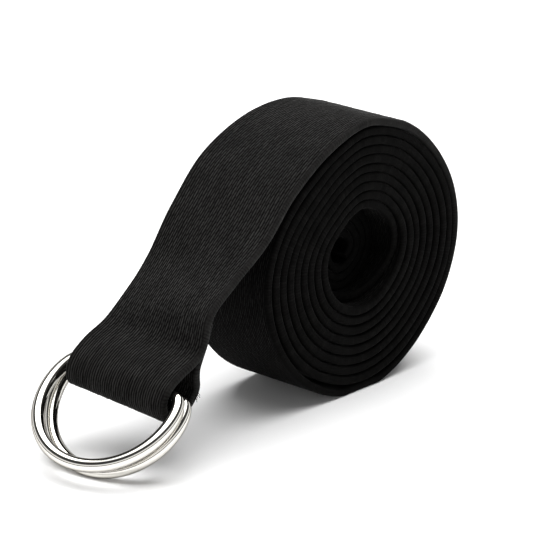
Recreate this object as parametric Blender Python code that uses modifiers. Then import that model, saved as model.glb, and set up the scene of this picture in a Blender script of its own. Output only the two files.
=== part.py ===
"""Stretching strap: one woven cotton strap wound into a roll, with two D-rings in its end loop.

The roll lies on its side on the floor, with its axis along Y. The strap leaves the roll at the
crest and slopes down towards -X. Its end wraps round the straight bars of both rings and is
sewn to the underside of the lead. Z is up, and the floor is z = 0.
"""
import math

import bpy
import bmesh
from mathutils import Matrix, Vector

MM = 0.001

# Webbing
WIDTH = 38.0
THICKNESS = 2.6
PART_GAP = 0.3
CUT_GAP = 0.6

# Roll: where its axis is, and the radii of its outermost turn at every eighth of a turn,
# starting at +X and going towards +Z
ROLL_CENTRE = Vector((37.81, 0.5, 47.95))
OUTER_RADII = (50.4, 48.3, 47.9, 45.8, 49.0, 49.1, 48.9, 47.6)
CREST_ANGLE = 88.0
STEPS_PER_TURN = 40

# Spiral, counted in turns from the crest: depth of a turn's outer face below the outermost turn
TUCK_START = 0.72
TUCK_END = 0.94
FIRST_STEP = 4.1
PITCH = 3.2
CORE_PITCH = 2.95
SLACK_FROM = 0.8
SLACK = ((0, -1.7), (88, 0.0), (92, 0.0), (108, 0.6), (124, 0.5), (180, -2.9), (212, -2.8),
         (250, -1.7), (275, -1.8), (320, -2.0), (360, -1.7))
SLACK_FADE = 0.09
ROUNDING = 0.06
DRIFT_PER_TURN = Vector((-0.18, 0.0, 0.12))
CORE_START = 9.1
CORE_RECESS = 10.0
CORE_RECESS_TURNS = 0.7
STRAP_END = 13.4
CREST_TWIST = 2.4
CREST_TWIST_TURNS = 0.2

# Lead, from the crest down to the rings, relative to the roll's axis:
# x, z, twist in degrees (positive lifts the +Y edge), y
LEAD_KNOTS = (
    (1.5, 46.6, 2.4, 0.3),
    (-21.0, 42.2, 9.0, -0.5),
    (-39.5, 32.1, 14.4, -1.2),
    (-54.6, 18.9, 13.2, -2.5),
    (-68.2, 6.9, 2.1, -3.3),
    (-80.8, -1.3, 0.6, -5.6),
    (-86.6, -9.4, 11.0, -5.4),
)
FLEX_AT = 110.0
FLEX_GAP = 1.2

# D-rings: wire, and the centreline of the D measured from the middle of its straight bar
WIRE_RADIUS = 2.15
RING_HALF_WIDTH = 24.1
RING_LENGTH = 33.4
RING_SHOULDER = 10.0
RING_CORNER = 4.8
RING_ROLL = 8.0
UPPER_BAR = Vector((-96.6, -4.0, -20.9))
UPPER_SLOPE = 35.7
BAR_OFFSET_BACK = 2.9
BAR_OFFSET_DOWN = 4.3
LOWER_SLOPE = 43.6
LOWER_YAW = -6.0
WIRE_SIDES_RESOLUTION = 3

# End loop, in its own frame: the origin is the upper bar, p runs towards the nose of the loop,
# q away from the floor. The third number is how far the layer is skewed.
LOOP_SLOPE = 36.5
LOOP_ROLL = 11.5
LOOP_SKEW = 1.5
LOOP_KNOTS = (
    (-2.5, 5.0, -0.5), (2.2, 4.9, -0.9), (5.4, 2.8, -0.9), (6.9, -1.2, -0.9), (5.8, -5.1, -0.4),
    (2.6, -7.9, 0.3), (-2.0, -9.1, 0.8), (-6.4, -8.9, 1.0), (-10.4, -7.1, 1.0),
    (-12.2, -3.4, 1.0), (-13.5, -0.9, 0.8),
)
LAP_OFFSET = 3.0
LAP_SKEW = 2.0
LAP_LENGTH = 8.0
LAP_BACK = 4.5

# Thread rows that close the loop
STITCH_LENGTH = 31.0
STITCH_WIDTH = 1.2
STITCH_HEIGHT = 0.5
STITCH_GAP = 0.55
STITCH_INSET = (2.6, 6.2)

Y_AXIS = Vector((0.0, 1.0, 0.0))


def clear_scene():
    for item in list(bpy.data.objects):
        bpy.data.objects.remove(item, do_unlink=True)


def make_material(name, color, roughness, metallic):
    material = bpy.data.materials.new(name)
    material.use_nodes = True
    shader = material.node_tree.nodes["Principled BSDF"]
    shader.inputs["Base Color"].default_value = (*color, 1.0)
    shader.inputs["Roughness"].default_value = roughness
    shader.inputs["Metallic"].default_value = metallic
    return material


def smooth(value):
    value = min(max(value, 0.0), 1.0)
    return value * value * (3.0 - 2.0 * value)


# ---------------------------------------------------------------- the strap's route

def outer_radius(angle):
    """Radius of the outermost turn at an angle in degrees, smooth through OUTER_RADII."""
    count = len(OUTER_RADII)
    place = (angle / 360.0 * count) % count
    index = int(place)
    t = place - index
    r0, r1, r2, r3 = (OUTER_RADII[(index + k) % count] for k in (-1, 0, 1, 2))
    slope1 = (r2 - r0) / 2
    slope2 = (r3 - r1) / 2
    cubic = 2 * r1 - 2 * r2 + slope1 + slope2
    square = -3 * r1 + 3 * r2 - 2 * slope1 - slope2
    return ((cubic * t + square) * t + slope1) * t + r1


def slack(angle):
    """How much deeper a turn lies at an angle than an even spiral would."""
    for (a0, d0), (a1, d1) in zip(SLACK, SLACK[1:]):
        if a0 <= angle < a1:
            return d0 + (d1 - d0) * smooth((angle - a0) / (a1 - a0))
    return 0.0


def depth(turn, angle):
    """Depth of a turn's outer face below the outermost turn."""
    tuck = FIRST_STEP * smooth((turn - TUCK_START) / (TUCK_END - TUCK_START))
    if turn < SLACK_FROM:
        return tuck
    fade = max(0.0, 1.0 - SLACK_FADE * (turn - 1.0))
    lean = slack(angle % 360.0)
    if turn < 1.0:
        return tuck + max(0.0, fade * lean)
    even = PITCH * (min(turn, CORE_START) - 1.0) + CORE_PITCH * max(0.0, turn - CORE_START)
    return tuck + even + fade * lean


def roll_frame(turn):
    """Middle of the webbing and its width direction, a number of turns in from the crest."""
    angle = CREST_ANGLE - 360.0 * turn
    outward = Vector((math.cos(math.radians(angle)), 0.0, math.sin(math.radians(angle))))
    mean = sum(OUTER_RADII) / len(OUTER_RADII)
    dent = (outer_radius(angle) - mean) * (1.0 - ROUNDING * max(0.0, turn - 1.0))
    radius = mean + dent - depth(turn, angle) - THICKNESS / 2
    point = outward * radius + DRIFT_PER_TURN * (min(max(turn, 1.0), CORE_START) - 1.0)
    point.y = CORE_RECESS * smooth((turn - CORE_START) / CORE_RECESS_TURNS)
    point.z = max(point.z, THICKNESS / 2 - ROLL_CENTRE.z)
    twist = math.radians(CREST_TWIST) * (1.0 - smooth(turn / CREST_TWIST_TURNS))
    return point, Y_AXIS * math.cos(twist) + outward * math.sin(twist)


def cut_turns(turn):
    """The gap between two nodes of the roll, as a part of a turn."""
    point = roll_frame(turn)[0]
    return CUT_GAP / (2 * math.pi * math.hypot(point.x, point.z))


class Route:
    """A smooth curve through knots, each a point and a width direction, measured in mm."""

    def __init__(self, knots):
        self.knots = knots
        self.at = [0.0]
        for (here, _), (there, _) in zip(knots, knots[1:]):
            self.at.append(self.at[-1] + (there - here).length)
        self.length = self.at[-1]

    def slope(self, index, part):
        before = max(index - 1, 0)
        after = min(index + 1, len(self.knots) - 1)
        if before == index or after == index:
            span = self.at[after] - self.at[before]
            return (self.knots[after][part] - self.knots[before][part]) / span
        h0 = self.at[index] - self.at[before]
        h1 = self.at[after] - self.at[index]
        rise0 = (self.knots[index][part] - self.knots[before][part]) / h0
        rise1 = (self.knots[after][part] - self.knots[index][part]) / h1
        return (rise0 * h1 + rise1 * h0) / (h0 + h1)

    def blend(self, distance, part):
        index = 0
        while index < len(self.at) - 2 and distance > self.at[index + 1]:
            index += 1
        span = self.at[index + 1] - self.at[index]
        t = (distance - self.at[index]) / span
        start, end = self.knots[index][part], self.knots[index + 1][part]
        slope0, slope1 = self.slope(index, part) * span, self.slope(index + 1, part) * span
        value = start * (2 * t ** 3 - 3 * t ** 2 + 1) + slope0 * (t ** 3 - 2 * t ** 2 + t)
        return value + end * (3 * t ** 2 - 2 * t ** 3) + slope1 * (t ** 3 - t ** 2)

    def frame(self, distance):
        """Middle of the webbing, its width direction and its outward normal."""
        point = self.blend(distance, 0)
        step = 0.05
        ahead = self.blend(min(distance + step, self.length), 0)
        behind = self.blend(max(distance - step, 0.0), 0)
        along = (ahead - behind).normalized()
        across = self.blend(distance, 1).normalized()
        return point, across, across.cross(along).normalized()


def lead_knot(x, z, twist, y, direction):
    """A knot of the lead: the width direction is tilted about the way that the strap runs."""
    outward = Vector((direction.z, 0.0, -direction.x)).normalized()
    across = Y_AXIS * math.cos(math.radians(twist)) + outward * math.sin(math.radians(twist))
    return Vector((x, y, z)), across


def lead_knots():
    """Knots from just before the crest, so that the lead leaves the roll in line with it."""
    places = [Vector((x, 0.0, z)) for x, z, _, _ in LEAD_KNOTS]
    before = roll_frame(0.06)
    route = [before[0], *places]
    knots = [before]
    for index, (x, z, twist, y) in enumerate(LEAD_KNOTS):
        ahead = route[min(index + 2, len(route) - 1)]
        knots.append(lead_knot(x, z, twist, y, ahead - route[index]))
    return knots


def loop_axes():
    slope, roll = math.radians(LOOP_SLOPE), math.radians(LOOP_ROLL)
    forward = Vector((-math.cos(slope), 0.0, -math.sin(slope)))
    upward = Vector((-math.sin(slope), 0.0, math.cos(slope)))
    across = Y_AXIS * math.cos(roll) + upward * math.sin(roll)
    normal = upward * math.cos(roll) - Y_AXIS * math.sin(roll)
    return forward, across, normal


def loop_knots():
    forward, across, normal = loop_axes()
    skew = LOOP_SKEW / (WIDTH / 2)
    return [(UPPER_BAR + forward * p + normal * q, across - forward * (skew * amount))
            for p, q, amount in LOOP_KNOTS]


def strap_end_route():
    """Crest, lead, loop round the bars, and the lap that is sewn under the lead."""
    outbound = Route(lead_knots() + loop_knots())
    lap = []
    for step in range(3):
        above = FLEX_AT + LAP_BACK + LAP_LENGTH * (1 - step / 2)
        point, across, normal = outbound.frame(above)
        lap.append((point - normal * LAP_OFFSET + Y_AXIS * LAP_SKEW, across))
    return Route(lead_knots() + loop_knots() + lap)


ROUTE = strap_end_route()
CREST_AT = ROUTE.at[1]
LAP_START = ROUTE.length - LAP_LENGTH


# ---------------------------------------------------------------- building the pieces

def add_ribbon(name, frame_at, start, end, steps, material, collection):
    """A stretch of webbing: a flat grid laid along the route, then given its thickness."""
    bm = bmesh.new()
    bmesh.ops.create_grid(bm, x_segments=1, y_segments=steps, size=1.0)
    for vertex in bm.verts:
        place = start + (end - start) * (vertex.co.y + 1.0) / 2
        frame = frame_at(place)
        point = frame[0] + frame[1] * (vertex.co.x * WIDTH / 2) + ROLL_CENTRE
        vertex.co = point * MM
    mesh = bpy.data.meshes.new(name)
    bm.to_mesh(mesh)
    bm.free()
    mesh.materials.append(material)
    ribbon = bpy.data.objects.new(name, mesh)
    collection.objects.link(ribbon)
    solidify = ribbon.modifiers.new("Thickness", "SOLIDIFY")
    solidify.thickness = THICKNESS * MM
    solidify.offset = 0.0
    solidify.use_even_offset = True
    solidify.use_quality_normals = True
    mesh.shade_smooth()
    mesh.set_sharp_from_angle(angle=math.radians(40))
    return ribbon


def set_pivot(ribbon, pivot):
    """Puts an object's origin on its joint's axis without moving its surface."""
    ribbon.data.transform(Matrix.Translation(-pivot))
    ribbon.location = pivot


def ring_frame(bar, slope_degrees, yaw_degrees):
    """Rotation of a ring: X across the strap to the front, Y along the ring, Z its normal."""
    slope, roll, yaw = (math.radians(v) for v in (slope_degrees, RING_ROLL, yaw_degrees))
    along = Vector((-math.cos(slope), 0.0, -math.sin(slope)))
    upward = Vector((-math.sin(slope), 0.0, math.cos(slope)))
    front = -Y_AXIS * math.cos(roll) - upward * math.sin(roll)
    normal = upward * math.cos(roll) - Y_AXIS * math.sin(roll)
    turn = Matrix.Rotation(yaw, 3, normal)
    rotation = Matrix((turn @ front, turn @ along, normal)).transposed()
    return Matrix.Translation(bar * MM) @ rotation.to_4x4()


def ring_outline():
    """Centreline of the D, from the middle of its bar round and back."""
    corner_steps, arc_steps = 6, 28
    flat = RING_HALF_WIDTH - RING_CORNER
    points = [(x, 0.0) for x in (-0.6 * flat, 0.0, 0.6 * flat)]
    for step in range(corner_steps):
        angle = math.pi / 2 * step / corner_steps
        points.append((flat + RING_CORNER * math.sin(angle),
                       RING_SHOULDER * (1 - math.cos(angle))))
    for step in range(arc_steps + 1):
        angle = math.pi * step / arc_steps
        points.append((RING_HALF_WIDTH * math.cos(angle),
                       RING_SHOULDER + (RING_LENGTH - RING_SHOULDER) * math.sin(angle)))
    for step in reversed(range(corner_steps)):
        angle = math.pi / 2 * step / corner_steps
        points.append((-flat - RING_CORNER * math.sin(angle),
                       RING_SHOULDER * (1 - math.cos(angle))))
    return points


def add_ring(name, placement, material, collection):
    """One D-ring of round wire, with its origin in the middle of its bar."""
    curve = bpy.data.curves.new(name, "CURVE")
    curve.dimensions = "3D"
    curve.bevel_depth = WIRE_RADIUS * MM
    curve.bevel_resolution = WIRE_SIDES_RESOLUTION
    outline = ring_outline()
    spline = curve.splines.new("POLY")
    spline.points.add(len(outline) - 1)
    for target, (x, y) in zip(spline.points, outline):
        target.co = (x * MM, y * MM, 0.0, 1.0)
    spline.use_cyclic_u = True
    curve.materials.append(material)
    ring = bpy.data.objects.new(name, curve)
    ring.matrix_world = placement
    collection.objects.link(ring)
    return ring


def add_stitch_row(name, distance, material, collection):
    """A bar tack across the lap, on the face away from the lead."""
    point, across, normal = ROUTE.frame(distance)
    along = across.cross(normal)
    offset = THICKNESS / 2 + STITCH_GAP + STITCH_HEIGHT / 2
    bm = bmesh.new()
    bmesh.ops.create_cube(bm, size=1.0)
    bmesh.ops.scale(bm, vec=(STITCH_LENGTH, STITCH_WIDTH, STITCH_HEIGHT), verts=bm.verts)
    rotation = Matrix((across, along, across.cross(along))).transposed().to_4x4()
    place = Matrix.Translation(point + normal * offset + ROLL_CENTRE)
    bmesh.ops.transform(bm, matrix=Matrix.Scale(MM, 4) @ place @ rotation, verts=bm.verts)
    mesh = bpy.data.meshes.new(name)
    bm.to_mesh(mesh)
    bm.free()
    mesh.materials.append(material)
    row = bpy.data.objects.new(name, mesh)
    collection.objects.link(row)
    return row


def build():
    clear_scene()
    collection = bpy.data.collections.new("stretching_strap")
    bpy.context.scene.collection.children.link(collection)
    webbing = make_material("black_webbing", (0.022, 0.022, 0.021), 0.85, 0.0)
    steel = make_material("polished_steel", (0.78, 0.77, 0.75), 0.12, 1.0)
    thread = make_material("black_thread", (0.015, 0.015, 0.015), 0.6, 0.0)

    stretches = (
        ("strap_outer_turn", 0.0, 1.0 - cut_turns(1.0)),
        ("strap_wound_turns", 1.0, CORE_START),
        ("strap_core_turns", CORE_START + cut_turns(CORE_START), STRAP_END),
    )
    for name, start, end in stretches:
        steps = round((end - start) * STEPS_PER_TURN)
        add_ribbon(name, roll_frame, start, end, steps, webbing, collection)

    lead_start = CREST_AT + PART_GAP
    lead_end = FLEX_AT - FLEX_GAP / 2
    lead = add_ribbon("strap_lead", ROUTE.frame, lead_start, lead_end, 30, webbing, collection)
    crest, _, crest_up = ROUTE.frame(CREST_AT)
    set_pivot(lead, (crest + crest_up * THICKNESS / 2 + ROLL_CENTRE) * MM)

    loop_start = FLEX_AT + FLEX_GAP / 2
    loop = add_ribbon("strap_ring_loop", ROUTE.frame, loop_start, LAP_START - CUT_GAP, 44,
                      webbing, collection)
    set_pivot(loop, (ROUTE.frame(FLEX_AT)[0] + ROLL_CENTRE) * MM)
    add_ribbon("strap_sewn_end", ROUTE.frame, LAP_START, ROUTE.length, 3, webbing, collection)
    for index, inset in enumerate(STITCH_INSET):
        add_stitch_row(f"stitch_row_{index + 1}", LAP_START + inset, thread, collection)

    upper = UPPER_BAR + ROLL_CENTRE
    upper_place = ring_frame(upper, UPPER_SLOPE, 0.0)
    add_ring("ring_upper", upper_place, steel, collection)
    along = upper_place.to_3x3().col[1]
    normal = upper_place.to_3x3().col[2]
    lower = upper - along * BAR_OFFSET_BACK - normal * BAR_OFFSET_DOWN
    add_ring("ring_lower", ring_frame(lower, LOWER_SLOPE, LOWER_YAW), steel, collection)


build()
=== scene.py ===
"""Stretching strap: the looks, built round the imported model.

The strap is one woven cotton webbing. Its middle line is sampled from the sewn end, round the
rings, up the lead and into the roll. Every stretch of webbing is swept along that line with its
warp floats and selvedges as real relief. Lengths are in millimetres until a mesh is made, and
they are measured from the roll's axis.
"""

import math

import bpy
import numpy as np
from mathutils import Matrix, Vector


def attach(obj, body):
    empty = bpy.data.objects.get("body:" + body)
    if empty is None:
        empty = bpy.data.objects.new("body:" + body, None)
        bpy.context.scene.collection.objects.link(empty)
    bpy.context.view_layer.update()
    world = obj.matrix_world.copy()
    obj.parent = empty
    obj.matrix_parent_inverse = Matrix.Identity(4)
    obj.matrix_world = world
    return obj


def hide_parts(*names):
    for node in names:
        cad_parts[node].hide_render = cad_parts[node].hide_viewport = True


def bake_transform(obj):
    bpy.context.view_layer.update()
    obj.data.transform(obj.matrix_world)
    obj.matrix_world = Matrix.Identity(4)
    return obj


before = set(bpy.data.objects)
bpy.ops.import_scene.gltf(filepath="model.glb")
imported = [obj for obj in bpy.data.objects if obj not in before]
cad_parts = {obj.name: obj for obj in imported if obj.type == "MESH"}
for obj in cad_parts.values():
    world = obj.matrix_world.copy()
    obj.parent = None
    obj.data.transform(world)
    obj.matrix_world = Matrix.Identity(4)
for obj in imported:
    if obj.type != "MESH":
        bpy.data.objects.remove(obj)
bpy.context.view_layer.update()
MM = 0.001

# ---------------------------------------------------------------- the CAD's own dimensions
# Millimetres, degrees and, for the roll, turns counted inwards from the crest.
WIDTH = 38.0
THICKNESS = 2.6
ROLL_CENTRE = Vector((37.81, 0.5, 47.95))
OUTER_RADII = (50.4, 48.3, 47.9, 45.8, 49.0, 49.1, 48.9, 47.6)
CREST_ANGLE = 88.0
TUCK_START, TUCK_END = 0.72, 0.94
FIRST_STEP = 4.1
PITCH = 3.2
CORE_PITCH = 2.95
SLACK_FROM = 0.8
SLACK = ((0, -1.7), (88, 0.0), (92, 0.0), (108, 0.6), (124, 0.5), (180, -2.9), (212, -2.8),
         (250, -1.7), (275, -1.8), (320, -2.0), (360, -1.7))
SLACK_FADE = 0.09
ROUNDING = 0.06
DRIFT_PER_TURN = Vector((-0.18, 0.0, 0.12))
CORE_START = 9.1
CORE_RECESS = 10.0
CORE_RECESS_TURNS = 0.7
STRAP_END = 13.4
CREST_TWIST = 2.4
CREST_TWIST_TURNS = 0.2
LEAD_FROM_TURN = 0.06
LEAD_KNOTS = (
    (1.5, 46.6, 2.4, 0.3),
    (-21.0, 42.2, 9.0, -0.5),
    (-39.5, 32.1, 14.4, -1.2),
    (-54.6, 18.9, 13.2, -2.5),
    (-68.2, 6.9, 2.1, -3.3),
    (-80.8, -1.3, 0.6, -5.6),
    (-86.6, -9.4, 11.0, -5.4),
)
FLEX_AT = 110.0
WIRE_RADIUS = 2.15
RING_HALF_WIDTH = 24.1
RING_LENGTH = 33.4
RING_SHOULDER = 10.0
RING_CORNER = 4.8
RING_ROLL = 8.0
UPPER_BAR = Vector((-96.6, -4.0, -20.9))
UPPER_SLOPE = 35.7
BAR_OFFSET_BACK = 2.9
BAR_OFFSET_DOWN = 4.3
LOWER_SLOPE = 43.6
LOWER_YAW = -6.0
LOOP_SLOPE = 36.5
LOOP_ROLL = 11.5
LOOP_SKEW = 1.5
LOOP_KNOTS = (
    (-2.5, 5.0, -0.5), (2.2, 4.9, -0.9), (5.4, 2.8, -0.9), (6.9, -1.2, -0.9), (5.8, -5.1, -0.4),
    (2.6, -7.9, 0.3), (-2.0, -9.1, 0.8), (-6.4, -8.9, 1.0), (-10.4, -7.1, 1.0),
    (-12.2, -3.4, 1.0), (-13.5, -0.9, 0.8),
)
LAP_OFFSET = 3.0
LAP_SKEW = 2.0
LAP_LENGTH = 8.0
LAP_BACK = 4.5
STITCH_LENGTH = 31.0
STITCH_INSET = (2.6, 6.2)

# ---------------------------------------------------------------- weave
WARP = 0.86                     # width of a warp lane
FLOAT = 3.6                     # length of a warp float
STAGGER = 0.48                  # how far a lane's floats lag behind its neighbour's, in floats
LANE_LAG = 0.35                 # most that one lane lags besides, in floats
LANE_SWAY = 0.1                 # how far a lane wanders sideways
SLANT = 0.1                     # how far a float leans across its lane, in lanes
RELIEF = 0.22                   # height of the crowns over the pits
CROWN_POWER = 0.8               # under 1, a crown is rounder than a cosine
PIT = 0.5                       # depth of the pit between two floats, as a share of a crown
PIT_LENGTH = 0.12               # its length, in floats
PIT_FILL = 0.35                 # how much shallower it is where the webbing is taut on the nose
NOSE = (22.0, 66.0)             # the taut stretch over the rings, from the sewn end
NOSE_FADE = (8.0, 12.0)         # how gently that stretch starts and ends
LOWEST_CROWN = 0.68             # the flattest crown, as a share of the tallest
PICK = 1.05                     # spacing of the weft's turns on a selvedge
SELVEDGE = 0.1                  # height of those turns
PICK_LOW = 0.35                 # height between two turns, as a share
PICK_EVEN = 0.8                 # the smallest turn, as a share of the largest
EDGE_BAND = (1.8, 1.2)          # where the weave gives way to the selvedge, and how gently
SWELL = 0.05                    # slow rise and fall of the surface
CORNER = 0.65                   # radius of the selvedge's corners
BULGE = 0.1                     # how far a selvedge stands out at its middle
WANDER = 0.22                   # slow sideways wander of the whole strap
LANE_FACETS = 5                 # mesh columns for each warp lane
PLAIN_FACETS = 14               # mesh columns across a face that is hidden in the roll
ROW = 0.34                      # mesh row spacing along the strap
SAMPLE_STEP = 0.25              # spacing of the samples on the strap's middle line
EDGE_SHADE_TONE = 0.6              # the selvedge's tone with painted shade, as a share of a crown's
ROLL_SHADE_TONE = 0.44             # the roll's tone with painted shade, as a share of the lead's
ROLL_SHADE_FADE = (25.0, 90.0)        # distance past the crest where that painted shade starts, and its length
CORE_SHADE_TONE = 0.6              # the hollow's tone with more painted shade, as a share of the roll's
CORE_SHADE_FADE = (300.0, 80.0)       # distance from the inner end where that painted shade starts, and its length

# ---------------------------------------------------------------- pieces of webbing and thread
FLEX_PIECE = (4.0, -40.0)       # ends of webbing_lead, past the end's hinge along the route
FLEX_BEND = (-14.0, 3.0)        # ends of a stretch by that hinge; end_webbing computes their places but does not use them
LIFT_BEND = (4.0, -30.0)        # ends of a stretch by the lead's hinge, past the crest; end_webbing computes their places but does not use them
OUTER_TURN = 2 * math.pi * 47.5
OUTER_ENDS = (0.5, 1.02)        # ends of the two outer pieces, in outer turns
WOUND_PIECES = 4
WOUND_THICKNESS = 2.85          # wound webbing, fluffed out until its turns nearly touch
TACK_STITCHES = 26
TACK_LEAN = 0.75                # half of a stitch's length along the strap
TACK_WIDTH = 0.3                # half of its width across
TACK_SINK = 0.12                # how deep its ends lie in the weave
TACK_RISE = (("lap", 0.3), ("lead", 0.01))
THREAD_RADIUS = 0.12
FIBRES = 9
FIBRE_RADIUS = 0.09
FIBRES_FROM, FIBRE_SPACING = 20.2, 0.3
RING_SIDES = 40
WELD = (0.09, 0.9)              # height and length of the weld on a ring's bar

# ---------------------------------------------------------------- camera and light
VIEW_AZIMUTH, VIEW_ELEVATION = -46.9, 17.57
VIEW_DISTANCE, VIEW_ASIDE, VIEW_UP = 701.34, -19.83, -7.50
LENS, SENSOR = 137.9, 36.0
SKY = ((0.0, 0.01), (0.12, 0.01), (0.17, 0.4), (0.4, 0.4), (0.45, 0.02), (0.8, 0.02),
       (0.86, 1.0), (1.0, 1.0))
SKY_STRENGTH = 2.7
SUN_STRENGTH = 2.4
SUN_ANGLE = 64.0
SUN_FROM = Vector((0.18, 0.12, 1.0))
FLOOR_SIZE = 30.0               # metres

Y_AXIS = Vector((0.0, 1.0, 0.0))


def smooth(value):
    """A gentle step from 0 to 1."""
    value = min(max(value, 0.0), 1.0)
    return value * value * (3.0 - 2.0 * value)


# ---------------------------------------------------------------- the strap's middle line

def outer_radius(angle):
    """Radius of the outermost turn at an angle in degrees, smooth through OUTER_RADII."""
    count = len(OUTER_RADII)
    place = (angle / 360.0 * count) % count
    index = int(place)
    t = place - index
    r0, r1, r2, r3 = (OUTER_RADII[(index + k) % count] for k in (-1, 0, 1, 2))
    slope1 = (r2 - r0) / 2
    slope2 = (r3 - r1) / 2
    cubic = 2 * r1 - 2 * r2 + slope1 + slope2
    square = -3 * r1 + 3 * r2 - 2 * slope1 - slope2
    return ((cubic * t + square) * t + slope1) * t + r1


def slack(angle):
    """How much deeper a turn lies at an angle than an even spiral would."""
    for (a0, d0), (a1, d1) in zip(SLACK, SLACK[1:]):
        if a0 <= angle < a1:
            return d0 + (d1 - d0) * smooth((angle - a0) / (a1 - a0))
    return 0.0


def depth(turn, angle):
    """Depth of a turn's outer face below the outermost turn."""
    tuck = FIRST_STEP * smooth((turn - TUCK_START) / (TUCK_END - TUCK_START))
    if turn < SLACK_FROM:
        return tuck
    fade = max(0.0, 1.0 - SLACK_FADE * (turn - 1.0))
    lean = slack(angle % 360.0)
    if turn < 1.0:
        return tuck + max(0.0, fade * lean)
    even = PITCH * (min(turn, CORE_START) - 1.0) + CORE_PITCH * max(0.0, turn - CORE_START)
    return tuck + even + fade * lean


def roll_frame(turn):
    """Middle of the webbing and its width direction, a number of turns in from the crest."""
    angle = CREST_ANGLE - 360.0 * turn
    outward = Vector((math.cos(math.radians(angle)), 0.0, math.sin(math.radians(angle))))
    mean = sum(OUTER_RADII) / len(OUTER_RADII)
    dent = (outer_radius(angle) - mean) * (1.0 - ROUNDING * max(0.0, turn - 1.0))
    radius = mean + dent - depth(turn, angle) - THICKNESS / 2
    point = outward * radius + DRIFT_PER_TURN * (min(max(turn, 1.0), CORE_START) - 1.0)
    point.y = CORE_RECESS * smooth((turn - CORE_START) / CORE_RECESS_TURNS)
    point.z = max(point.z, THICKNESS / 2 - ROLL_CENTRE.z)
    twist = math.radians(CREST_TWIST) * (1.0 - smooth(turn / CREST_TWIST_TURNS))
    return point, Y_AXIS * math.cos(twist) + outward * math.sin(twist)


class Route:
    """A smooth curve through knots, each a point and a width direction."""

    def __init__(self, knots):
        self.knots = knots
        self.at = [0.0]
        for (here, _), (there, _) in zip(knots, knots[1:]):
            self.at.append(self.at[-1] + (there - here).length)
        self.length = self.at[-1]

    def slope(self, index, part):
        """Rate of change of a knot's point (part 0) or width direction (part 1)."""
        before = max(index - 1, 0)
        after = min(index + 1, len(self.knots) - 1)
        if before == index or after == index:
            span = self.at[after] - self.at[before]
            return (self.knots[after][part] - self.knots[before][part]) / span
        h0 = self.at[index] - self.at[before]
        h1 = self.at[after] - self.at[index]
        rise0 = (self.knots[index][part] - self.knots[before][part]) / h0
        rise1 = (self.knots[after][part] - self.knots[index][part]) / h1
        return (rise0 * h1 + rise1 * h0) / (h0 + h1)

    def blend(self, distance, part):
        """The point (part 0) or width direction (part 1) at a distance, smooth through knots."""
        index = 0
        while index < len(self.at) - 2 and distance > self.at[index + 1]:
            index += 1
        span = self.at[index + 1] - self.at[index]
        t = (distance - self.at[index]) / span
        start, end = self.knots[index][part], self.knots[index + 1][part]
        slope0, slope1 = self.slope(index, part) * span, self.slope(index + 1, part) * span
        value = start * (2 * t ** 3 - 3 * t ** 2 + 1) + slope0 * (t ** 3 - 2 * t ** 2 + t)
        return value + end * (3 * t ** 2 - 2 * t ** 3) + slope1 * (t ** 3 - t ** 2)

    def frame(self, distance):
        """Middle of the webbing, its width direction and its outward normal."""
        step = 0.05
        ahead = self.blend(min(distance + step, self.length), 0)
        behind = self.blend(max(distance - step, 0.0), 0)
        across = self.blend(distance, 1).normalized()
        return self.blend(distance, 0), across, across.cross(ahead - behind).normalized()


def lead_knots():
    """Knots from just before the crest, so that the lead leaves the roll in line with it."""
    before = roll_frame(LEAD_FROM_TURN)
    route = [before[0]] + [Vector((x, 0.0, z)) for x, z, _, _ in LEAD_KNOTS]
    knots = [before]
    for index, (x, z, twist, y) in enumerate(LEAD_KNOTS):
        direction = route[min(index + 2, len(route) - 1)] - route[index]
        outward = Vector((direction.z, 0.0, -direction.x)).normalized()
        angle = math.radians(twist)
        across = Y_AXIS * math.cos(angle) + outward * math.sin(angle)
        knots.append((Vector((x, y, z)), across))
    return knots


def loop_knots():
    """Knots of the loop, laid out along and square to the strap at the upper ring's bar."""
    slope, roll = math.radians(LOOP_SLOPE), math.radians(LOOP_ROLL)
    forward = Vector((-math.cos(slope), 0.0, -math.sin(slope)))
    upward = Vector((-math.sin(slope), 0.0, math.cos(slope)))
    across = Y_AXIS * math.cos(roll) + upward * math.sin(roll)
    normal = upward * math.cos(roll) - Y_AXIS * math.sin(roll)
    skew = LOOP_SKEW / (WIDTH / 2)
    return [(UPPER_BAR + forward * p + normal * q, across - forward * (skew * amount))
            for p, q, amount in LOOP_KNOTS]


def strap_end_route():
    """Crest, lead, loop round the bars, and the lap that is sewn under the lead."""
    outbound = Route(lead_knots() + loop_knots())
    lap = []
    for step in range(3):
        above = FLEX_AT + LAP_BACK + LAP_LENGTH * (1 - step / 2)
        point, across, normal = outbound.frame(above)
        lap.append((point - normal * LAP_OFFSET + Y_AXIS * LAP_SKEW, across))
    return Route(outbound.knots + lap)


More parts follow.
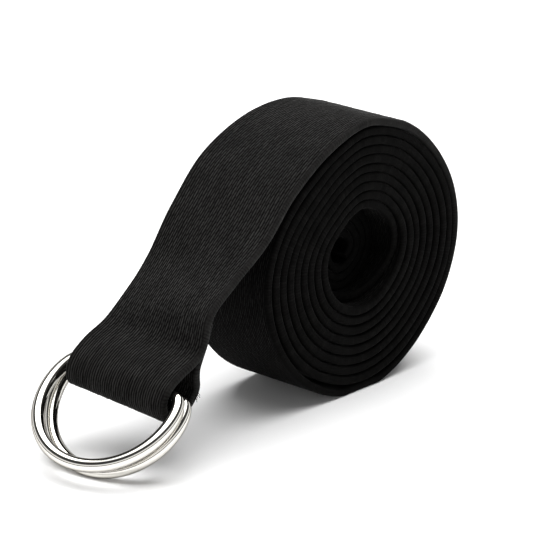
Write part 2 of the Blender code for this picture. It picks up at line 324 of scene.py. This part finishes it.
class Strap:
    """The whole strap as evenly spaced frames, by distance from its sewn end."""

    def __init__(self):
        route = strap_end_route()
        self.end_length = route.length
        self.crest = route.length - route.at[1]
        frames = [route.frame(d)[:2] for d in np.arange(route.length, 0.0, -SAMPLE_STEP)]
        turn = LEAD_FROM_TURN
        while turn < STRAP_END:
            point, across = roll_frame(turn)
            frames.append((point, across))
            turn += SAMPLE_STEP / (2 * math.pi * math.hypot(point.x, point.z))
        points = np.array([tuple(point) for point, _ in frames])
        across = np.array([tuple(direction) for _, direction in frames])
        points = self.even(points, 6)
        gaps = np.linalg.norm(np.diff(points, axis=0), axis=1)
        self.at = np.concatenate(([0.0], np.cumsum(gaps)))
        self.length = self.at[-1]
        self.points = points
        along = self.even(np.gradient(points, axis=0), 3)
        along /= np.linalg.norm(along, axis=1)[:, None]
        self.across = across / np.linalg.norm(across, axis=1)[:, None]
        normal = np.cross(along, self.across)
        self.normal = normal / np.linalg.norm(normal, axis=1)[:, None]

    @staticmethod
    def even(values, passes):
        """Evens out a row of vectors, so that curvature never jumps."""
        values = values.copy()
        for _ in range(passes * 4):
            values[1:-1] += 0.25 * (values[:-2] + values[2:] - 2 * values[1:-1])
        return values

    def frames(self, distances):
        """Points, width directions and outward normals at distances from the sewn end."""
        def read(table):
            return np.stack([np.interp(distances, self.at, table[:, k]) for k in range(3)], 1)
        return read(self.points), read(self.across), read(self.normal)

    def at_route(self, distance):
        """Distance from the sewn end of a place on the end's route."""
        return self.end_length - distance

    def frame(self, distance):
        """Point, width direction and outward normal at one distance."""
        return (values[0] for values in self.frames(np.array([float(distance)])))

    def world(self, distance):
        """A place on the middle line, in metres in the model's frame."""
        point, _, _ = self.frame(distance)
        return (Vector(point) + ROLL_CENTRE) * MM


# ---------------------------------------------------------------- weave relief

def scatter(a, b):
    """A fixed pseudo-random number from 0 to 1 for each pair."""
    value = np.sin(a * 12.9898 + b * 78.233) * 43758.5453
    return value - np.floor(value)


def drift(distance, scale, seed):
    """A slow, smooth wander along the strap, from -1 to 1."""
    place = distance / scale
    cell = np.floor(place)
    t = place - cell
    t = t * t * (3 - 2 * t)
    low = scatter(cell, np.full_like(cell, seed))
    high = scatter(cell + 1, np.full_like(cell, seed))
    return 2 * (low + (high - low) * t) - 1


def warp_relief(s, u, face):
    """Height of the warp floats, from 0 in the pits to 1 on the crowns."""
    lane = (u + LANE_SWAY * drift(s + 9 * u, 6.0, 11.0)) / WARP + 200.0
    column = np.floor(lane)
    beat = s / FLOAT + STAGGER * column + LANE_LAG * scatter(column, column * 0 + face)
    number = np.floor(beat)
    y = beat - number
    x = lane - column - 0.5 + SLANT * (y - 0.5) * face
    x = x - np.round(x)
    crown = (0.5 + 0.5 * np.cos(2 * math.pi * x)) ** CROWN_POWER
    taut = np.clip((s - NOSE[0]) / NOSE_FADE[0], 0, 1)
    taut = taut * np.clip((NOSE[1] - s) / NOSE_FADE[1], 0, 1)
    ends = 1 - (PIT - PIT_FILL * taut) * np.exp(-(np.minimum(y, 1 - y) / PIT_LENGTH) ** 2)
    vary = LOWEST_CROWN + (1 - LOWEST_CROWN) * scatter(column + 31 * face, number)
    return crown * ends * vary


def selvedge_relief(s, u):
    """Height of the weft's turns along a selvedge, from 0 to 1."""
    turn = np.abs(2 * ((s / PICK) % 1.0) - 1)
    height = PICK_LOW + (1 - PICK_LOW) * np.sqrt(np.clip(1 - turn ** 2, 0, 1))
    even = PICK_EVEN + (1 - PICK_EVEN) * scatter(np.floor(s / PICK), np.sign(u) * 3)
    return height * even


def section(dense_top, dense_bottom, thickness):
    """Points round the webbing's section: across, out, direction across and out, and face.

    The face is 1 on the outer side, -1 on the inner side and 0 on a selvedge, which is nearly
    flat between two small round corners.
    """
    half = thickness / 2
    flat = WIDTH / 2 - CORNER
    corner = [math.radians(angle) for angle in (67.5, 45.0, 22.5, 0.0)]
    upper = [(CORNER * math.cos(a), half - CORNER + CORNER * math.sin(a), math.cos(a), math.sin(a))
             for a in corner]
    middle = [(CORNER, (half - CORNER) * part, 1.0, 0.0) for part in (0.5, 0.0, -0.5)]
    lower = [(wide, -out, du, -dv) for wide, out, du, dv in reversed(upper)]
    rows = []

    def side(face, dense):
        count = int(round(2 * flat / (WARP / LANE_FACETS))) if dense else PLAIN_FACETS
        for u in np.linspace(-flat, flat, count + 1) * face:
            rows.append((u, face * half, 0.0, face, face))

    def edge(sign):
        for wide, out, du, dv in upper + middle + lower:
            swell = BULGE * (1 - (out / half) ** 2)
            rows.append((sign * (flat + wide + swell), sign * out, sign * du, sign * dv, 0.0))

    side(1, dense_top)
    edge(1)
    side(-1, dense_bottom)
    edge(-1)
    return np.array(rows)


def painted_shade_along(strap, s):
    """Tone with painted shade, fitted to the photo: full on the lead, lower on the roll, lowest in
    its hollow.
    """
    wound = np.clip((s - strap.crest - ROLL_SHADE_FADE[0]) / ROLL_SHADE_FADE[1], 0, 1)
    core = np.clip((s - strap.length + CORE_SHADE_FADE[0]) / CORE_SHADE_FADE[1], 0, 1)
    return (1 - (1 - ROLL_SHADE_TONE) * wound) * (1 - (1 - CORE_SHADE_TONE) * core)


def webbing(name, strap, span, dense, material, thick=THICKNESS):
    """A stretch of woven webbing as one closed mesh.

    The span runs between two distances from the sewn end. The outer and the inner face are each
    dense, with every warp lane in relief, or plain, where the roll hides them.
    """
    count = max(2, int(round((span[1] - span[0]) / ROW)))
    s = np.linspace(*span, count + 1)
    points, across, normal = strap.frames(s)
    ring = section(*dense, thick - RELIEF)
    u, v, du, dv, face = (ring[:, k][None, :] for k in range(5))
    grid = np.broadcast_to(s[:, None], (len(s), ring.shape[0]))
    woven = warp_relief(grid, np.broadcast_to(u, grid.shape), np.where(face == 0, 1, face))
    edge = selvedge_relief(grid, u)
    near = np.clip((np.abs(u) - (WIDTH / 2 - EDGE_BAND[0])) / EDGE_BAND[1], 0, 1)
    is_edge = face == 0
    height = np.where(is_edge, edge, woven * (1 - 0.5 * near) + 0.5 * edge * near)
    lift = np.where(is_edge, SELVEDGE, RELIEF) * height
    lift += SWELL * drift(grid + 7 * u, 9.0, 3.0) * (1 - near)
    swing = WANDER * drift(s, 45.0, 5.0) + 0.5 * WANDER * drift(s, 13.0, 8.0)
    width = u + du * lift + swing[:, None]
    out = v + dv * lift
    place = points[:, None] + across[:, None] * width[..., None] + normal[:, None] * out[..., None]
    place = (place.reshape(-1, 3) + np.array(ROLL_CENTRE)) * MM
    place[:, 2] = np.maximum(place[:, 2], 0.0)
    piece = swept_mesh(name, place, len(s), ring.shape[0], material)
    # painted shade: the selvedges, which face sideways, and the face next to them are darker
    plain = np.where(is_edge, EDGE_SHADE_TONE, 1 - (1 - EDGE_SHADE_TONE) * near)
    # painted shade: darker along the roll and darkest in its hollow
    tone = height * plain * painted_shade_along(strap, grid)
    # the relief field is the weave's height with the painted shade multiplied in
    add_field(piece, "relief", "FLOAT", tone.ravel())
    coords = np.stack([grid, np.broadcast_to(u, grid.shape),
                       np.broadcast_to(face * 1.0, grid.shape)], -1)
    add_field(piece, "strap", "FLOAT_VECTOR", coords.reshape(-1, 3))
    return piece


# ---------------------------------------------------------------- mesh helpers

def swept_mesh(name, place, rows, columns, material, closed=False):
    """A mesh from rows of section points: closed round the section, and capped or joined."""
    r = np.arange(rows if closed else rows - 1)[:, None]
    c = np.arange(columns)[None, :]
    r1, c1 = (r + 1) % rows, (c + 1) % columns
    quads = np.stack([r * columns + c, r * columns + c1, r1 * columns + c1,
                      r1 * columns + c], -1).reshape(-1, 4)
    sizes = np.full(len(quads), 4)
    loops = quads.ravel()
    if not closed:
        first = np.arange(columns)[::-1]
        last = (rows - 1) * columns + np.arange(columns)
        loops = np.concatenate([loops, first, last])
        sizes = np.concatenate([sizes, [columns, columns]])
    mesh = bpy.data.meshes.new(name)
    mesh.vertices.add(len(place))
    mesh.vertices.foreach_set("co", place.astype(np.float32).ravel())
    mesh.loops.add(len(loops))
    mesh.loops.foreach_set("vertex_index", loops.astype(np.int32))
    mesh.polygons.add(len(sizes))
    starts = np.concatenate([[0], np.cumsum(sizes)[:-1]])
    mesh.polygons.foreach_set("loop_start", starts.astype(np.int32))
    mesh.update(calc_edges=True)
    mesh.validate()
    mesh.shade_smooth()
    if not closed:
        mesh.set_sharp_from_angle(angle=math.radians(80))
    mesh.materials.append(material)
    piece = bpy.data.objects.new(name, mesh)
    bpy.context.scene.collection.objects.link(piece)
    return piece


def add_field(piece, name, kind, values):
    """A value for each vertex, which a material reads by name."""
    field = piece.data.attributes.new(name, kind, "POINT")
    key = "value" if kind == "FLOAT" else "vector"
    field.data.foreach_set(key, values.astype(np.float32).ravel())


def tube(name, path, radii, sides, material, closed=False):
    """A round tube along a path in metres, with its own radius at each point."""
    path = np.asarray(path, float)
    if closed:
        along = np.roll(path, -1, 0) - np.roll(path, 1, 0)
    else:
        along = np.gradient(path, axis=0)
    along /= np.linalg.norm(along, axis=1)[:, None]
    guide = np.array((0.0, 0.0, 1.0)) if abs(along[0][2]) < 0.9 else np.array((1.0, 0.0, 0.0))
    places = []
    for index, direction in enumerate(along):
        side = np.cross(direction, guide)
        side /= np.linalg.norm(side)
        guide = np.cross(side, direction)
        turn = np.linspace(0, 2 * math.pi, sides, endpoint=False)[:, None]
        places.append(path[index] + radii[index] * (np.cos(turn) * side + np.sin(turn) * guide))
    return swept_mesh(name, np.concatenate(places), len(path), sides, material, closed)


# ---------------------------------------------------------------- materials

def new_material(name, color, roughness, metallic):
    """A material and its Principled shader."""
    material = bpy.data.materials.new(name)
    material.use_nodes = True
    shader = material.node_tree.nodes["Principled BSDF"]
    shader.inputs["Base Color"].default_value = (*color, 1.0)
    shader.inputs["Roughness"].default_value = roughness
    shader.inputs["Metallic"].default_value = metallic
    return material, shader


def node(material, kind, **values):
    """A new shader node, with values for its sockets or settings."""
    made = material.node_tree.nodes.new(kind)
    for key, value in values.items():
        if key in made.inputs:
            made.inputs[key].default_value = value
        else:
            setattr(made, key, value)
    return made


def join(material, source, target):
    material.node_tree.links.new(source, target)


def noise(material, coordinates, scale, detail=3.0, stretch=None):
    """A noise texture, with its coordinates stretched if asked."""
    texture = node(material, "ShaderNodeTexNoise", Scale=scale, Detail=detail)
    if stretch:
        mapping = node(material, "ShaderNodeMapping", Scale=stretch)
        join(material, coordinates, mapping.inputs["Vector"])
        coordinates = mapping.outputs["Vector"]
    join(material, coordinates, texture.inputs["Vector"])
    return texture.outputs["Fac"]


def ramp(material, factor, stops):
    """A colour ramp between two stops."""
    made = node(material, "ShaderNodeValToRGB")
    elements = made.color_ramp.elements
    elements[0].position, elements[0].color = stops[0][0], (*stops[0][1], 1.0)
    elements[1].position, elements[1].color = stops[1][0], (*stops[1][1], 1.0)
    join(material, factor, made.inputs["Fac"])
    return made.outputs["Color"]


def spread(material, factor, source, target):
    """The factor moved from one range of values to another."""
    made = node(material, "ShaderNodeMapRange")
    for name, value in zip(("From Min", "From Max", "To Min", "To Max"), source + target):
        made.inputs[name].default_value = value
    join(material, factor, made.inputs["Value"])
    return made.outputs["Result"]


def multiply(material, first, second):
    """Two colours multiplied."""
    made = node(material, "ShaderNodeMix", data_type="RGBA", blend_type="MULTIPLY")
    made.inputs[0].default_value = 1.0
    join(material, first, made.inputs[6])
    join(material, second, made.inputs[7])
    return made.outputs[2]


def bump(material, shader, height, strength, distance):
    made = node(material, "ShaderNodeBump", Strength=strength, Distance=distance)
    join(material, height, made.inputs["Height"])
    join(material, made.outputs["Normal"], shader.inputs["Normal"])


def webbing_material():
    """Black cotton: pits darker than crowns as painted shade, spun fibres, and faint darker
    patches.
    """
    material, shader = new_material("cotton_webbing", (0.02, 0.02, 0.02), 0.8, 0.0)
    shader.inputs["Sheen Roughness"].default_value = 0.3
    relief = node(material, "ShaderNodeAttribute", attribute_name="relief").outputs["Fac"]
    strap = node(material, "ShaderNodeAttribute", attribute_name="strap").outputs["Vector"]
    # painted shade: the ramp darkens the pits and every place the relief field carries painted
    # shade
    crown = ramp(material, relief,
                 ((0.1, (0.0013, 0.0013, 0.0012)), (0.8, (0.0190, 0.0178, 0.0162))))
    patches = ramp(material, noise(material, strap, 0.11, 4.0),
                   ((0.3, (0.62, 0.60, 0.60)), (0.7, (1.0, 1.0, 1.0))))
    fibres = noise(material, strap, 1.0, 4.0, stretch=(1.6, 6.0, 1.0))
    lint = ramp(material, fibres, ((0.35, (0.3, 0.3, 0.3)), (0.68, (1.0, 1.0, 1.0))))
    color = multiply(material, multiply(material, crown, patches), lint)
    # specular and sheen follow the relief field too, so the painted shade dims them as well
    for socket, high in (("Specular IOR Level", 0.3), ("Sheen Weight", 0.17)):
        level = spread(material, relief, (0.2, 0.9), (0.1 * high, high))
        join(material, level, shader.inputs[socket])
    join(material, color, shader.inputs["Base Color"])
    bump(material, shader, fibres, 0.8, 0.00015)
    return material


def steel_material():
    """Polished, plated wire with faint handling marks, darker where it turns away."""
    material, shader = new_material("polished_wire", (0.72, 0.70, 0.655), 0.1, 1.0)
    shader.inputs["Specular Tint"].default_value = (0.12, 0.11, 0.10, 1.0)
    where = node(material, "ShaderNodeTexCoord").outputs["Object"]
    marks = spread(material, noise(material, where, 90.0, 3.0), (0.35, 0.75), (0.03, 0.09))
    join(material, marks, shader.inputs["Roughness"])
    bump(material, shader, noise(material, where, 420.0, 2.0), 0.04, 0.0001)
    return material


def thread_material():
    """Black sewing thread, with fine mottling as colour and relief."""
    material, shader = new_material("sewing_thread", (0.012, 0.012, 0.012), 0.55, 0.0)
    shader.inputs["Specular IOR Level"].default_value = 0.15
    where = node(material, "ShaderNodeTexCoord").outputs["Object"]
    mottle = noise(material, where, 2600.0, 2.0)
    color = ramp(material, mottle, ((0.3, (0.002, 0.002, 0.002)), (0.7, (0.007, 0.007, 0.007))))
    join(material, color, shader.inputs["Base Color"])
    bump(material, shader, mottle, 0.5, 0.0001)
    return material


# ---------------------------------------------------------------- thread

def tubes(name, paths, radius, sides, material):
    """Several short threads as one piece, each a closed tube along its own path in metres."""
    made = [tube(f"{name}_{index}", path, [radius * MM] * len(path), sides, material)
            for index, path in enumerate(paths)]
    first = made[0]
    with bpy.context.temp_override(active_object=first, selected_editable_objects=made):
        bpy.ops.object.join()
    first.name = name
    return first


def bar_tack(strap, distance, rise):
    """Zigzag stitches across the webbing: each rises out of the weave and goes back in."""
    paths = []
    for index in range(TACK_STITCHES):
        u = STITCH_LENGTH * ((index + 0.5) / TACK_STITCHES - 0.5)
        lean = TACK_LEAN if index % 2 else -TACK_LEAN
        path = []
        for part in np.linspace(-1, 1, 7):
            point, across, normal = strap.frame(distance + lean * part)
            height = THICKNESS / 2 - TACK_SINK + rise * (1 - part ** 2)
            place = point + across * (u + TACK_WIDTH * part) + normal * height
            path.append((place + np.array(ROLL_CENTRE)) * MM)
        paths.append(path)
    return paths


def frayed_fibres(strap):
    """Loose ends of cotton at the front corner of the folded under-layer."""
    paths = []
    for index in range(FIBRES):
        at = FIBRES_FROM + FIBRE_SPACING * index + 0.4 * math.sin(index * 2.3)
        point, across, normal = strap.frame(at)
        start = point - across * (WIDTH / 2 - 0.1) + normal * (0.9 * math.sin(index * 1.7))
        reach = 0.8 + 0.9 * abs(math.sin(index * 3.1))
        bend = np.array((0.4 * math.sin(index * 2.9), 0.0, -0.7))
        path = [start + (-across * part + bend * part ** 2) * reach
                for part in np.linspace(0, 1, 5)]
        paths.append([(place + np.array(ROLL_CENTRE)) * MM for place in path])
    return paths


# ---------------------------------------------------------------- rings

def ring_frame(bar, slope_degrees, yaw_degrees):
    """Rotation of a ring: X across the strap to the front, Y along the ring, Z its normal."""
    slope, roll, yaw = (math.radians(v) for v in (slope_degrees, RING_ROLL, yaw_degrees))
    along = Vector((-math.cos(slope), 0.0, -math.sin(slope)))
    upward = Vector((-math.sin(slope), 0.0, math.cos(slope)))
    front = -Y_AXIS * math.cos(roll) - upward * math.sin(roll)
    normal = upward * math.cos(roll) - Y_AXIS * math.sin(roll)
    turn = Matrix.Rotation(yaw, 3, normal)
    rotation = Matrix((turn @ front, turn @ along, normal)).transposed()
    return Matrix.Translation(bar) @ rotation.to_4x4()


def ring_path():
    """The wire's centreline, finely stepped: bar, corner, long arc, corner."""
    flat = RING_HALF_WIDTH - RING_CORNER
    reach = RING_LENGTH - RING_SHOULDER
    corner = [math.pi / 2 * step / 26 for step in range(26)]
    path = [(x, 0.0) for x in np.linspace(-flat, flat, 40, endpoint=False)]
    path += [(flat + RING_CORNER * math.sin(a), RING_SHOULDER * (1 - math.cos(a))) for a in corner]
    path += [(RING_HALF_WIDTH * math.cos(a), RING_SHOULDER + reach * math.sin(a))
             for a in np.linspace(0, math.pi, 150)]
    path += [(-flat - RING_CORNER * math.sin(a), RING_SHOULDER * (1 - math.cos(a)))
             for a in reversed(corner[1:])]
    return path


def d_ring(name, placement, material):
    """A ring of bent wire, with the swelling of its flash weld in the middle of the bar."""
    path, radii = [], []
    for x, y in ring_path():
        path.append((placement @ Vector((x, y, 0.0)) + ROLL_CENTRE) * MM)
        weld = WELD[0] * math.exp(-(x / WELD[1]) ** 2) if y == 0.0 else 0.0
        radii.append((WIRE_RADIUS + weld) * MM)
    return tube(name, [tuple(p) for p in path], radii, RING_SIDES, material, closed=True)


# ---------------------------------------------------------------- stage

def sky():
    """Bands of soft light and dark, by height, which the polished rings mirror."""
    world = bpy.data.worlds.new("studio")
    bpy.context.scene.world = world
    world.use_nodes = True
    tree = world.node_tree
    background = tree.nodes["Background"]
    where = tree.nodes.new("ShaderNodeTexCoord")
    split = tree.nodes.new("ShaderNodeSeparateXYZ")
    shade = tree.nodes.new("ShaderNodeValToRGB")
    stops = shade.color_ramp.elements
    for position, level in SKY:
        stop = stops.new(position)
        stop.color = (level, level, level, 1.0)
    stops.remove(stops[0])
    tree.links.new(where.outputs["Generated"], split.inputs[0])
    tree.links.new(split.outputs["Z"], shade.inputs["Fac"])
    tree.links.new(shade.outputs["Color"], background.inputs["Color"])
    background.inputs["Strength"].default_value = SKY_STRENGTH


def key_light():
    """A wide, soft sun from almost straight above."""
    sun = bpy.data.lights.new("key", "SUN")
    sun.energy = SUN_STRENGTH
    sun.angle = math.radians(SUN_ANGLE)
    key = bpy.data.objects.new("key", sun)
    key.rotation_euler = SUN_FROM.to_track_quat("Z", "Y").to_euler()
    bpy.context.scene.collection.objects.link(key)


def studio_floor():
    """A plain pale floor."""
    bpy.ops.mesh.primitive_plane_add(size=FLOOR_SIZE, location=(0.0, 0.0, 0.0))
    floor = bpy.context.active_object
    floor.name = "studio_floor"
    material, shader = new_material("studio_floor", (0.9, 0.9, 0.9), 0.8, 0.0)
    shader.inputs["Specular IOR Level"].default_value = 0.1
    floor.data.materials.append(material)


def camera():
    """A long lens from the front left, a little above the strap."""
    azimuth, elevation = math.radians(VIEW_AZIMUTH), math.radians(VIEW_ELEVATION)
    back = Vector((math.sin(azimuth) * math.cos(elevation),
                   -math.cos(azimuth) * math.cos(elevation), math.sin(elevation)))
    right = Vector((math.cos(azimuth), math.sin(azimuth), 0.0))
    up = back.cross(right)
    data = bpy.data.cameras.new("photo_view")
    data.lens = LENS
    data.sensor_width = SENSOR
    view = bpy.data.objects.new("photo_view", data)
    aim = right * VIEW_ASIDE + up * VIEW_UP + ROLL_CENTRE
    place = (aim + back * VIEW_DISTANCE) * MM
    rotation = Matrix((right, up, back)).transposed()
    view.matrix_world = Matrix.Translation(place) @ rotation.to_4x4()
    bpy.context.scene.collection.objects.link(view)
    bpy.context.scene.camera = view


def end_webbing(strap, material):
    """The loop round the rings, the lead, and the crest where the lead leaves the roll."""
    flex_start, flex_end = (strap.at_route(FLEX_AT + past) for past in FLEX_PIECE)
    loop = webbing("webbing_loop", strap, (0.0, flex_start), (True, True), material)
    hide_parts("strap_ring_loop", "strap_sewn_end")
    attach(loop, "ring_end")

    flex = webbing("webbing_lead", strap, (flex_start, flex_end), (True, True), material)
    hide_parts("strap_lead")
    bend = [strap.world(strap.at_route(FLEX_AT + past)) for past in FLEX_BEND]
    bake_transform(flex)

    crest = webbing("webbing_crest", strap, (flex_end, strap.end_length), (True, True), material)
    bend = [strap.world(strap.crest + past) for past in LIFT_BEND]
    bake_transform(crest)
    return [loop, flex, crest], [0.0, flex_start, flex_end]


def rolled_webbing(strap, material):
    """The outer turn in two pieces, then the wound turns and the core."""
    ends = [strap.end_length] + [strap.end_length + OUTER_TURN * share for share in OUTER_ENDS]
    pieces = []
    for index, span in enumerate(zip(ends, ends[1:])):
        piece = webbing(f"webbing_outer_{index + 1}", strap, span, (True, False), material)
        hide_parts("strap_outer_turn")
        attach(piece, "roll")
        pieces.append(piece)
    inner = np.linspace(ends[-1], strap.length, WOUND_PIECES + 1)
    for index, span in enumerate(zip(inner, inner[1:])):
        innermost = index == WOUND_PIECES - 1
        piece = webbing(f"webbing_turns_{index + 1}", strap, span, (False, innermost), material,
                        thick=WOUND_THICKNESS)
        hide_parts("strap_core_turns" if index > 1 else "strap_wound_turns")
        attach(piece, "roll")
        pieces.append(piece)
    return pieces, [*ends, *inner[1:]]


def rings(material):
    """The two D-rings, the lower one shifted back and down along the upper one's own axes."""
    upper_place = ring_frame(UPPER_BAR, UPPER_SLOPE, 0.0)
    along = upper_place.to_3x3().col[1]
    normal = upper_place.to_3x3().col[2]
    lower_bar = UPPER_BAR - along * BAR_OFFSET_BACK - normal * BAR_OFFSET_DOWN
    lower_place = ring_frame(lower_bar, LOWER_SLOPE, LOWER_YAW)
    for name, place in (("upper", upper_place), ("lower", lower_place)):
        ring = d_ring(f"d_ring_{name}", place, material)
        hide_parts(f"ring_{name}")
        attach(ring, f"{name}_ring")


def seams(strap, material):
    """Two bar tacks through the lap and the lead, seen on both sides of the seam."""
    for index, inset in enumerate(STITCH_INSET):
        under = LAP_LENGTH - inset
        over = strap.at_route(FLEX_AT + LAP_BACK + under)
        for (name, rise), distance in zip(TACK_RISE, (under, over)):
            row = tubes(f"bar_tack_{name}_{index + 1}", bar_tack(strap, distance, rise),
                        THREAD_RADIUS, 8, material)
            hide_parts(f"stitch_row_{index + 1}")
            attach(row, "ring_end")


def main():
    """Makes the stage and every piece of the strap, and ties each piece but the lead and the crest
    to the CAD.
    """
    camera()
    bpy.context.scene.view_settings.view_transform = "Standard"
    sky()
    key_light()
    studio_floor()
    cotton = webbing_material()
    steel = steel_material()
    thread = thread_material()
    strap = Strap()

    flat_pieces, starts = end_webbing(strap, cotton)
    rolled_pieces, ends = rolled_webbing(strap, cotton)
    starts = starts + ends

    rings(steel)
    seams(strap, thread)
    fibres = tubes("frayed_fibres", frayed_fibres(strap), FIBRE_RADIUS, 6, cotton)
    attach(fibres, "ring_end")


main()
